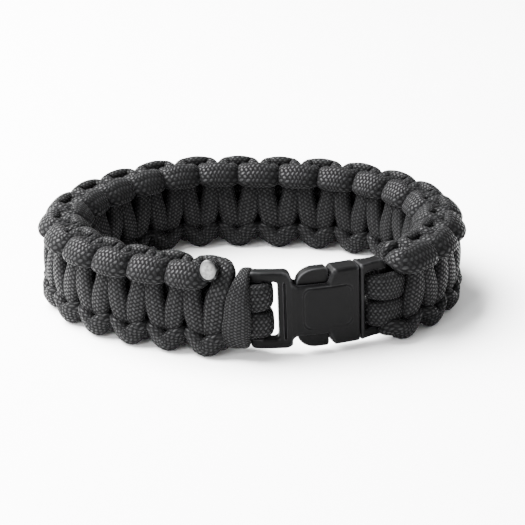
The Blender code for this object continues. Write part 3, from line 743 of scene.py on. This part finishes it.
def slab(name, outlines, thickness, rounding=0.0):
    """A flat outline with holes, given its thickness and rounded rims, as a mesh object."""
    curve = bpy.data.curves.new(name, "CURVE")
    curve.dimensions = "2D"
    curve.fill_mode = "BOTH"
    curve.extrude = thickness / 2 - rounding
    curve.bevel_depth = rounding
    curve.bevel_resolution = 3
    curve.offset = -rounding
    for outline in outlines:
        spline = curve.splines.new("POLY")
        spline.points.add(len(outline) - 1)
        for point, (x, y) in zip(spline.points, outline):
            point.co = (x, y, 0, 1)
        spline.use_cyclic_u = True
    guide = placed(name + "_outline", curve)
    bpy.context.view_layer.update()
    depsgraph = bpy.context.evaluated_depsgraph_get()
    data = bpy.data.meshes.new_from_object(guide.evaluated_get(depsgraph))
    bpy.data.objects.remove(guide)
    bpy.data.curves.remove(curve)
    mesh = bmesh.new()
    mesh.from_mesh(data)
    bpy.data.meshes.remove(data)
    bmesh.ops.remove_doubles(mesh, verts=mesh.verts, dist=0.000005)
    bmesh.ops.recalc_face_normals(mesh, faces=mesh.faces)
    return object_of(name, mesh)


def block(name, x0, x1, y0, y1, z0, z1):
    """A plain box between two corners."""
    mesh = bmesh.new()
    size = Matrix.Diagonal((x1 - x0, y1 - y0, z1 - z0, 1))
    middle = Matrix.Translation(((x0 + x1) / 2, (y0 + y1) / 2, (z0 + z1) / 2))
    bmesh.ops.create_cube(mesh, size=1, matrix=middle @ size)
    return object_of(name, mesh)


def settle(target):
    """Turn an object's modifiers into its mesh."""
    bpy.context.view_layer.update()
    depsgraph = bpy.context.evaluated_depsgraph_get()
    data = bpy.data.meshes.new_from_object(target.evaluated_get(depsgraph))
    target.modifiers.clear()
    old = target.data
    target.data = data
    bpy.data.meshes.remove(old)


def combine(target, others, operation):
    """Cut or join other solids with a target and remove them."""
    for other in others:
        change = target.modifiers.new(operation, "BOOLEAN")
        change.operation = operation
        change.solver = "EXACT"
        change.object = other
    settle(target)
    for other in others:
        bpy.data.objects.remove(other)


def taper(target, stations):
    """Scale the thickness of a slab along its length, through pairs of distance and share."""
    mesh = bmesh.new()
    mesh.from_mesh(target.data)
    xs, shares = zip(*stations)
    for x in xs:
        geometry = mesh.verts[:] + mesh.edges[:] + mesh.faces[:]
        bmesh.ops.bisect_plane(mesh, geom=geometry, dist=0.00001, plane_co=(x, 0, 0), plane_no=(1, 0, 0))
    for vert in mesh.verts:
        vert.co.z *= float(np.interp(vert.co.x, xs, shares))
    mesh.to_mesh(target.data)
    mesh.free()


def bar_cuts(x0, x1):
    """Two boxes that thin a strap frame's end to its cord bar."""
    far = BODY_THICKNESS
    near = CORD_BAR_THICKNESS / 2
    half = SLOT_HEIGHT / 2
    x0, x1 = x0 - FIT_GAP, x1 + FIT_GAP
    return [block("bar_cut", x0, x1, -half, half, *side) for side in ((near, far), (-far, -near))]


def socket_body():
    """The flat socket: strap frame, neck, plates round a hollow, side windows, rim and panel outline."""
    half = BUCKLE_HEIGHT / 2
    waist = WAIST_HEIGHT / 2
    window_end = SEAM - RIM_LENGTH
    waist_x = BODY_START + NECK_LENGTH + WAIST_RADIUS / 2
    upper = arc(BIGHT_END_CORNER - FRAME_REACH, half - BIGHT_END_CORNER, BIGHT_END_CORNER, 180, 90)
    upper += arc(BODY_START + 0.45 * SHOULDER_RADIUS, half - SHOULDER_RADIUS, SHOULDER_RADIUS, 90, 30)
    upper += arc(waist_x, waist + WAIST_RADIUS, WAIST_RADIUS, 195, 270)
    upper += [
        (window_end - RIM_SLANT, waist),
        (window_end - RIM_SLANT / 4, half - RIM_SLANT / 2),
        (window_end + RIM_SLANT / 4, half),
        (SEAM - FIT_GAP, half),
        (SEAM, half - FIT_GAP),
    ]
    slot = rounded_box(CORD_BAR_DEPTH, BODY_START, SLOT_HEIGHT / 2, SLOT_CORNER)
    body = slab("socket_body", [mirrored(upper), slot], BODY_THICKNESS, SOCKET_ROUNDING)
    stations = (
        (-FRAME_REACH, 0.85 * FRAME_SHARE),
        (CORD_BAR_DEPTH, FRAME_SHARE),
        (BODY_START + 0.2 * NECK_LENGTH, FRAME_SHARE),
        (BODY_START + 0.45 * NECK_LENGTH, 0.25 + 0.75 * FRAME_SHARE),
        (BODY_START + 0.75 * NECK_LENGTH, 0.94),
        (BODY_START + NECK_LENGTH, 1.0),
    )
    taper(body, stations)
    deep = CAVITY_THICKNESS / 2
    neck_end = BODY_START + NECK_LENGTH
    hollow = block("hollow", neck_end, SEAM + FIT_GAP, -CAVITY_HALF, CAVITY_HALF, -deep, deep)
    side = SLOT_HEIGHT / 2
    channel = (BODY_START + VALLEY_START, BODY_START + VALLEY_END)
    valley = block("valley", *channel, -side, side, FRAME_THICKNESS / 2 - VALLEY_DEPTH, BODY_THICKNESS)
    combine(body, [hollow, valley] + bar_cuts(-FRAME_REACH, CORD_BAR_DEPTH), "DIFFERENCE")
    outlines = []
    for inset in (0.0, GROOVE_WIDTH):
        end = SEAM - PANEL_MARGIN - inset
        start = SEAM - PANEL_MARGIN - PANEL_LENGTH + inset
        outlines.append(rounded_box(start, end, PANEL_HEIGHT / 2 - inset, PANEL_CORNER - inset))
    groove = slab("panel_outline", outlines, 2 * GROOVE_DEPTH)
    groove.data.transform(Matrix.Translation((0, PANEL_LIFT, BODY_THICKNESS / 2)))
    combine(body, [groove], "DIFFERENCE")
    return body


def plug_body():
    """The flat plug: flange, strap frame, two spring arms with release pads, and the middle guide."""
    half = BUCKLE_HEIGHT / 2
    end = BUCKLE_LENGTH
    upper = [(PLUG_START, half - FIT_GAP), (PLUG_START + FIT_GAP, half)]
    upper += arc(end - FRAME_CORNER, half - FRAME_CORNER, FRAME_CORNER, 90, 0)
    slot = rounded_box(PLUG_SLOT, PLUG_SLOT + SLOT_DEPTH, SLOT_HEIGHT / 2, SLOT_CORNER)
    body = slab("plug_body", [mirrored(upper), slot], BODY_THICKNESS, PLUG_ROUNDING)
    stations = (
        (PLUG_START, 1.0),
        (PLUG_SLOT, 0.5 + 0.5 * FRAME_SHARE),
        (PLUG_SLOT + 0.5 * SLOT_DEPTH, FRAME_SHARE),
        (PLUG_SLOT + SLOT_DEPTH, FRAME_SHARE),
        (end, 0.85 * FRAME_SHARE),
    )
    taper(body, stations)
    combine(body, bar_cuts(end - CORD_BAR_DEPTH, end), "DIFFERENCE")
    arm_out = CAVITY_HALF - FIT_GAP
    arm_in = arm_out - ARM_HEIGHT
    pad_end = SEAM - RIM_LENGTH - RIM_SLANT - FIT_GAP + PAD_REACH
    pad_start = BODY_START + NECK_LENGTH + FIT_GAP
    pad_out = half + PAD_PROUD
    root = PLUG_START + FLANGE_DEPTH / 2
    rise = pad_out - WAIST_HEIGHT / 2
    run = PAD_SWEEP * (pad_end - pad_start)
    quarter = arc(0, 0, 1, 90, 180, 12)
    sweep = [(pad_start + run * (1 + x), WAIST_HEIGHT / 2 + rise * y) for x, y in quarter]
    arm = [(root, arm_in), (root, arm_out), (pad_end, arm_out), (pad_end, pad_out - PAD_CORNER)]
    arm += [(pad_end - PAD_CORNER, pad_out)] + sweep + [(pad_start, arm_in)]
    arms = [
        slab("upper_arm", [arm], ARM_THICKNESS),
        slab("lower_arm", [[(x, -y) for x, y in reversed(arm)]], ARM_THICKNESS),
    ]
    deep = ARM_THICKNESS / 2
    wide = GUIDE_HEIGHT / 2
    combine(body, arms + [block("guide", SEAM - GUIDE_LENGTH, root, -wide, wide, -deep, deep)], "UNION")
    return body


def soften(target, moulding):
    """Round all the rims of a solid as a moulding has them, and give its mesh."""
    fine = target.modifiers.new("fine", "REMESH")
    fine.mode = "VOXEL"
    fine.voxel_size = moulding.grain
    ease = target.modifiers.new("ease", "SMOOTH")
    ease.factor = 0.5
    ease.iterations = moulding.passes
    thin = target.modifiers.new("thin", "DECIMATE")
    thin.ratio = moulding.keep
    settle(target)
    mesh = bmesh.new()
    mesh.from_mesh(target.data)
    bpy.data.objects.remove(target)
    mark_rims(mesh)
    return mesh


def mark_rims(mesh):
    """Store how far each point of a mesh stands out as a rim, which the plastic uses for a painted
    highlight along the rims.
    """
    layer = mesh.verts.layers.float.new("Rim")
    fold = {edge: edge.calc_face_angle_signed(0.0) for edge in mesh.edges}
    share = {}
    for vert in mesh.verts:
        share[vert] = sum(fold[edge] for edge in vert.link_edges) / len(vert.link_edges)
    for vert in mesh.verts:
        around = [share[edge.other_vert(vert)] for edge in vert.link_edges]
        vert[layer] = (share[vert] + sum(around)) / (1 + len(around))


# Surfaces


class Graph:
    """Short ways to add nodes to a tree."""

    def __init__(self, tree):
        self.tree = tree
        self.column = 0

    def add(self, kind, **values):
        """Add a node and set its named values."""
        node = self.tree.nodes.new(kind)
        node.location = (self.column * 180, 0)
        self.column += 1
        for key, value in values.items():
            setattr(node, key, value)
        return node

    def put(self, socket, value):
        """Link a socket or set its value."""
        if isinstance(value, bpy.types.NodeSocket):
            self.tree.links.new(value, socket)
        elif value is not None:
            socket.default_value = value

    def math(self, operation, a, b=None, c=None):
        """A Math node's output."""
        node = self.add("ShaderNodeMath", operation=operation)
        for socket, value in zip(node.inputs, (a, b, c)):
            self.put(socket, value)
        return node.outputs[0]

    def mix(self, factor, a, b):
        """A colour between two."""
        node = self.add("ShaderNodeMix", data_type="RGBA")
        self.put(node.inputs["Factor"], factor)
        self.put(node.inputs[6], a)
        self.put(node.inputs[7], b)
        return node.outputs[2]

    def range(self, value, *limits):
        """A value mapped from one range, low and high, to another."""
        node = self.add("ShaderNodeMapRange")
        for name, number in zip(("Value", "From Min", "From Max", "To Min", "To Max"), (value, *limits)):
            self.put(node.inputs[name], number)
        return node.outputs["Result"]

    def noise(self, scale, detail=2.0):
        """Clouds on the object's own coordinates."""
        where = self.add("ShaderNodeTexCoord")
        node = self.add("ShaderNodeTexNoise")
        self.put(node.inputs["Vector"], where.outputs["Object"])
        self.put(node.inputs["Scale"], scale)
        node.inputs["Detail"].default_value = detail
        return node.outputs[0]

    def bump(self, shader, height, distance, strength):
        """Raise a shader's surface by a height."""
        node = self.add("ShaderNodeBump")
        node.inputs["Strength"].default_value = strength
        node.inputs["Distance"].default_value = distance
        self.put(node.inputs["Height"], height)
        self.put(shader.inputs["Normal"], node.outputs[0])


def new_group(name, inputs, outputs):
    """An empty shader group's graph. inputs: names and values. outputs: names of numbers."""
    group = bpy.data.node_groups.new(name, "ShaderNodeTree")
    for socket, value in inputs.items():
        made = group.interface.new_socket(socket, in_out="INPUT", socket_type="NodeSocketFloat")
        made.default_value = value
    for socket in outputs:
        group.interface.new_socket(socket, in_out="OUTPUT", socket_type="NodeSocketFloat")
    return group, Graph(group)


def braid_group():
    """Braided sheath: slanted stitches in columns, leaning one way and the other in turn."""
    group = bpy.data.node_groups.get("braided_sheath")
    if group:
        return group
    group, g = new_group("braided_sheath", {"Columns": 20, "Slant": 0.5}, ("Height", "Crown", "Tone_and_sheen"))
    group.interface.new_socket("Place", in_out="INPUT", socket_type="NodeSocketVector")
    into = g.add("NodeGroupInput")
    split = g.add("ShaderNodeSeparateXYZ")
    g.put(split.inputs[0], into.outputs["Place"])
    around = g.math("MULTIPLY", split.outputs["Y"], into.outputs["Columns"])
    column = g.math("FLOOR", around)
    across = g.math("SUBTRACT", g.math("FRACT", around), 0.5)
    odd = g.math("MODULO", column, 2.0)
    side = g.math("MULTIPLY_ADD", odd, -2.0, 1.0)
    along = g.math("MULTIPLY_ADD", odd, 0.5, split.outputs["X"])
    stitch = g.math("FLOOR", along)
    within = g.math("MULTIPLY", g.math("SUBTRACT", g.math("FRACT", along), 0.5), 2.0)
    turn = g.math("MULTIPLY", into.outputs["Slant"], side)
    c = g.math("COSINE", turn)
    d = g.math("SINE", turn)
    length = g.math("ADD", g.math("MULTIPLY", within, c), g.math("MULTIPLY", across, d))
    breadth = g.math("SUBTRACT", g.math("MULTIPLY", across, c), g.math("MULTIPLY", within, d))
    far = g.math("POWER", g.math("ABSOLUTE", g.math("DIVIDE", length, STITCH_REACH)), 2.6)
    wide = g.math("POWER", g.math("ABSOLUTE", g.math("DIVIDE", breadth, STITCH_BREADTH)), 2.0)
    dome = g.math("MAXIMUM", g.math("SUBTRACT", g.math("SUBTRACT", 1.0, far), wide), 0.0)
    height = g.math("POWER", dome, 0.5)
    threads = g.math("SINE", g.math("MULTIPLY", breadth, THREAD_RATE))
    height = g.math("MULTIPLY_ADD", threads, 0.02, height)
    cell = g.add("ShaderNodeCombineXYZ")
    g.put(cell.inputs[0], stitch)
    g.put(cell.inputs[1], column)
    chance = g.add("ShaderNodeTexWhiteNoise", noise_dimensions="2D")
    g.put(chance.inputs["Vector"], cell.outputs[0])
    # Painted sheen: the columns of one lean are painted darker than those of the other, as light catches
    # the other lean more; each stitch's tone also differs at random.
    tone_and_sheen = g.math("MULTIPLY_ADD", odd, -0.45, 1.0)
    tone_and_sheen = g.math("MULTIPLY", tone_and_sheen, g.range(chance.outputs["Value"], 0.0, 1.0, 0.75, 1.25))
    out = g.add("NodeGroupOutput")
    g.put(out.inputs["Height"], height)
    g.put(out.inputs["Crown"], dome)
    g.put(out.inputs["Tone_and_sheen"], tone_and_sheen)
    return group


def grain_group():
    """Fine grain of moulded plastic, read on the object."""
    group = bpy.data.node_groups.get("moulded_grain")
    if group:
        return group
    group, g = new_group("moulded_grain", {"Scale": 4000}, ("Height", "Cloud"))
    into = g.add("NodeGroupInput")
    fine = g.noise(into.outputs["Scale"], 3.0)
    cloud = g.noise(300.0, 4.0)
    out = g.add("NodeGroupOutput")
    g.put(out.inputs["Height"], fine)
    g.put(out.inputs["Cloud"], cloud)
    return group


def new_material(name):
    """An empty material's graph and its shader."""
    made = bpy.data.materials.new(name)
    made.use_nodes = True
    shader = made.node_tree.nodes["Principled BSDF"]
    shader.location = (2400, 0)
    made.node_tree.nodes["Material Output"].location = (2700, 0)
    return made, Graph(made.node_tree), shader


def cord_material(sizes, colours):
    """Black braided nylon, with a painted highlight on the stitches' crowns and painted shade in the gaps
    between them.
    """
    made = bpy.data.materials.get("braided_cord")
    if made:
        return made
    made, g, shader = new_material("braided_cord")
    where = g.add("ShaderNodeUVMap", uv_map="Braid")
    braid = g.add("ShaderNodeGroup", node_tree=braid_group())
    g.put(braid.inputs["Place"], where.outputs["UV"])
    braid.inputs["Columns"].default_value = sizes.stitch_columns
    braid.inputs["Slant"].default_value = 0.5
    # The crowns take the cord's colour and the gaps between stitches a darker one: painted highlight on the
    # crowns and painted shade in the gaps.
    crown = g.range(braid.outputs["Crown"], 0.10, 0.9, 0.0, 1.0)
    body = g.mix(crown, (*colours.cord_gap_shade, 1), (*colours.cord, 1))
    # Scale the colour by the stitch's random tone and by the painted sheen of one lean.
    light = g.add("ShaderNodeVectorMath", operation="SCALE")
    g.put(light.inputs[0], body)
    g.put(light.inputs["Scale"], braid.outputs["Tone_and_sheen"])
    g.put(shader.inputs["Base Color"], light.outputs[0])
    g.put(shader.inputs["Roughness"], g.range(crown, 0.0, 1.0, 1.0, 0.35))
    shader.inputs["Specular IOR Level"].default_value = 0.077
    g.bump(shader, braid.outputs["Height"], sizes.stitch_height, 1.0)
    return made


def plastic_material(colours):
    """Black moulded plastic with a fine grain and a painted highlight along its rims."""
    made, g, shader = new_material("moulded_plastic")
    grain = g.add("ShaderNodeGroup", node_tree=grain_group())
    grain.inputs["Scale"].default_value = 5000.0
    deep = tuple(0.75 * c for c in colours.plastic)
    # Painted highlight: outward rims, read from the Rim attribute, are painted up to ten times paler than
    # the plastic.
    pale = tuple(10 * c for c in colours.plastic)
    body = g.mix(grain.outputs["Cloud"], (*deep, 1), (*colours.plastic, 1))
    mark = g.add("ShaderNodeAttribute", attribute_name="Rim")
    rim = g.range(mark.outputs["Fac"], 0.05, 0.26, 0.0, 1.0)
    g.put(shader.inputs["Base Color"], g.mix(rim, body, (*pale, 1)))
    g.put(shader.inputs["Roughness"], g.range(grain.outputs["Cloud"], 0.3, 0.7, 0.40, 0.50))
    shader.inputs["Specular IOR Level"].default_value = 0.032
    g.bump(shader, grain.outputs["Height"], 0.03 * MM, 0.35)
    return made


def tip_material(colours):
    """Cord melted to a pale, uneven seal, with a painted shadow ring round it."""
    made, g, shader = new_material("melted_seal")
    grain = g.add("ShaderNodeGroup", node_tree=grain_group())
    grain.inputs["Scale"].default_value = 1500.0
    where = g.add("ShaderNodeUVMap", uv_map="Rim")
    split = g.add("ShaderNodeSeparateXYZ")
    g.put(split.inputs[0], where.outputs["UV"])
    # Painted shadow: the seal's outer ring, uneven by the grain, is painted in the cord's dark colour as
    # the shadow ring round the pale tip.
    uneven = g.math("MULTIPLY_ADD", grain.outputs["Height"], 0.35, split.outputs["X"])
    rim = g.range(uneven, 0.80, 1.15, 0.0, 1.0)
    dark = tuple(0.28 * c for c in colours.tip)
    cloud = g.range(grain.outputs["Height"], 0.35, 0.6, 0.0, 1.0)
    pale = g.mix(cloud, (*dark, 1), (*colours.tip, 1))
    g.put(shader.inputs["Base Color"], g.mix(rim, pale, (*colours.cord, 1)))
    g.put(shader.inputs["Roughness"], g.range(cloud, 0.0, 1.0, 0.4, 0.6))
    g.bump(shader, grain.outputs["Height"], 0.1 * MM, 0.6)
    return made


# Operators


class BRACELET_OT_working_cords(bpy.types.Operator):
    """Sweep the two working cords of the weave"""

    bl_idname = "bracelet.working_cords"
    bl_label = "Working cords"

    def execute(self, context):
        sizes = context.scene.bracelet_cord
        surface = cord_material(sizes, context.scene.bracelet_colours)
        for name, rows in (("outer_weave_braid", outer_course()), ("inner_weave_braid", inner_course())):
            node = name.replace("braid", "cord")
            finish(name, cord_mesh(rows, sizes), surface, node)
        return {"FINISHED"}


class BRACELET_OT_core_cord(bpy.types.Operator):
    """Sweep the core cord with its turns round the buckle's bars and the hitch's bight"""

    bl_idname = "bracelet.core_cord"
    bl_label = "Core cord"

    def execute(self, context):
        sizes = context.scene.bracelet_cord
        surface = cord_material(sizes, context.scene.bracelet_colours)
        mesh = cord_mesh(core_course(), sizes, squareness=0.9, fineness=4 / 3)
        finish("core_braid", mesh, surface, "core_cord")
        return {"FINISHED"}


class BRACELET_OT_sealed_end(bpy.types.Operator):
    """Seal the working cord's end with a melted tip"""

    bl_idname = "bracelet.sealed_end"
    bl_label = "Sealed end"

    def execute(self, context):
        along, across, depth = inner_course()[-1][:3]
        mesh = bmesh.new()
        layer = mesh.loops.layers.uv.new("Rim")
        bmesh.ops.create_uvsphere(mesh, u_segments=32, v_segments=16, radius=1.0)
        for face in mesh.faces:
            for loop in face.loops:
                loop[layer].uv = (math.hypot(loop.vert.co.x, loop.vert.co.y), 0.0)
        spots = np.array([vert.co for vert in mesh.verts]) * (TIP_WIDTH / 2, TIP_TALL / 2, TIP_DOME)
        bend_mesh(mesh, spots + (along, across, depth - 0.3 * TIP_DOME))
        surface = tip_material(context.scene.bracelet_colours)
        finish("melted_seal", mesh, surface, "sealed_end")
        return {"FINISHED"}


class BRACELET_OT_buckle(bpy.types.Operator):
    """Mould the two halves of the buckle, with rounded rims, and bend them to the loop"""

    bl_idname = "bracelet.buckle"
    bl_label = "Buckle"

    def execute(self, context):
        surface = plastic_material(context.scene.bracelet_colours)
        moulding = context.scene.bracelet_moulding
        for name, flat in (("socket_moulding", socket_body()), ("plug_moulding", plug_body())):
            mesh = soften(flat, moulding)
            spots = np.array([vert.co for vert in mesh.verts])
            bend_mesh(mesh, spots + (SOCKET_ALONG, 0.0, 0.0))
            finish(name, mesh, surface, "buckle_" + name.split("_")[0])
        return {"FINISHED"}


class BRACELET_OT_stage(bpy.types.Operator):
    """Lay the floor and place the lights and the camera"""

    bl_idname = "bracelet.stage"
    bl_label = "Stage"

    def execute(self, context):
        settings = context.scene.bracelet_stage
        colours = context.scene.bracelet_colours
        mesh = bmesh.new()
        bmesh.ops.create_grid(mesh, x_segments=1, y_segments=1, size=4.0)
        floor = object_of("floor", mesh)
        made, g, shader = new_material("pale_floor")
        near = tuple(0.985 * c for c in colours.floor)
        g.put(shader.inputs["Base Color"], g.mix(g.noise(6.0), (*near, 1), (*colours.floor, 1)))
        shader.inputs["Roughness"].default_value = 0.9
        floor.data.materials.append(made)
        world = bpy.data.worlds.new("soft_sky")
        world.use_nodes = True
        sky = world.node_tree.nodes["Background"]
        sky.inputs["Color"].default_value = (1.0, 1.0, 1.0, 1.0)
        sky.inputs["Strength"].default_value = settings.sky
        context.scene.world = world
        self.light("key", settings.key_power, KEY_SIZE, KEY_PLACE, (0.0, 0.0, 0.0))
        self.light("fill", settings.fill_power, FILL_SIZE, FILL_PLACE, FILL_AIM, FILL_SHINE)
        camera = placed("camera", bpy.data.cameras.new("camera"))
        camera.data.sensor_width = SENSOR_WIDTH
        camera.data.lens = settings.lens
        camera.data.clip_start = 0.01
        camera.data.shift_x, camera.data.shift_y = CAMERA_SHIFT
        turn = settings.elevation
        right, ahead = CAMERA_AIM
        ahead -= settings.distance * math.cos(turn)
        round_z = Matrix.Rotation(settings.azimuth, 4, "Z")
        camera.location = round_z @ Vector((right, ahead, settings.distance * math.sin(turn)))
        camera.rotation_euler = (math.pi / 2 - turn, 0.0, settings.azimuth)
        context.scene.camera = camera
        return {"FINISHED"}

    def light(self, name, power, size, place, target, shine=1.0):
        """A square soft light facing a point."""
        lamp = bpy.data.lights.new(name, "AREA")
        lamp.energy = power
        lamp.size = size
        lamp.specular_factor = shine
        made = placed(name, lamp)
        made.location = place
        made.rotation_euler = (Vector(place) - Vector(target)).to_track_quat("Z", "Y").to_euler()


class BRACELET_PT_panel(bpy.types.Panel):
    """Sizes, colours and steps of the bracelet"""

    bl_idname = "BRACELET_PT_panel"
    bl_label = "Woven cord bracelet"
    bl_space_type = "VIEW_3D"
    bl_region_type = "UI"
    bl_category = "Bracelet"

    def draw(self, context):
        for name in SETTINGS:
            box = self.layout.box()
            group = getattr(context.scene, name)
            for key in group.__annotations__:
                box.prop(group, key)
        for step in STEPS:
            self.layout.operator(step.bl_idname)


STEPS = (
    BRACELET_OT_working_cords,
    BRACELET_OT_core_cord,
    BRACELET_OT_sealed_end,
    BRACELET_OT_buckle,
    BRACELET_OT_stage,
)
SETTINGS = {
    "bracelet_cord": CordSizes,
    "bracelet_moulding": Moulding,
    "bracelet_colours": Colours,
    "bracelet_stage": StageSettings,
}
CLASSES = (*SETTINGS.values(), *STEPS, BRACELET_PT_panel)


def register():
    """Register the classes and the scene's settings."""
    for item in CLASSES:
        bpy.utils.register_class(item)
    for name, group in SETTINGS.items():
        setattr(bpy.types.Scene, name, PointerProperty(type=group))


def unregister():
    """Take the settings and the classes away again."""
    for name in SETTINGS:
        delattr(bpy.types.Scene, name)
    for item in reversed(CLASSES):
        bpy.utils.unregister_class(item)


def main():
    """Make every piece in order."""
    register()
    bpy.ops.bracelet.working_cords()
    bpy.ops.bracelet.core_cord()
    bpy.ops.bracelet.sealed_end()
    bpy.ops.bracelet.buckle()
    bpy.ops.bracelet.stage()


if __name__ == "__main__":
    main()
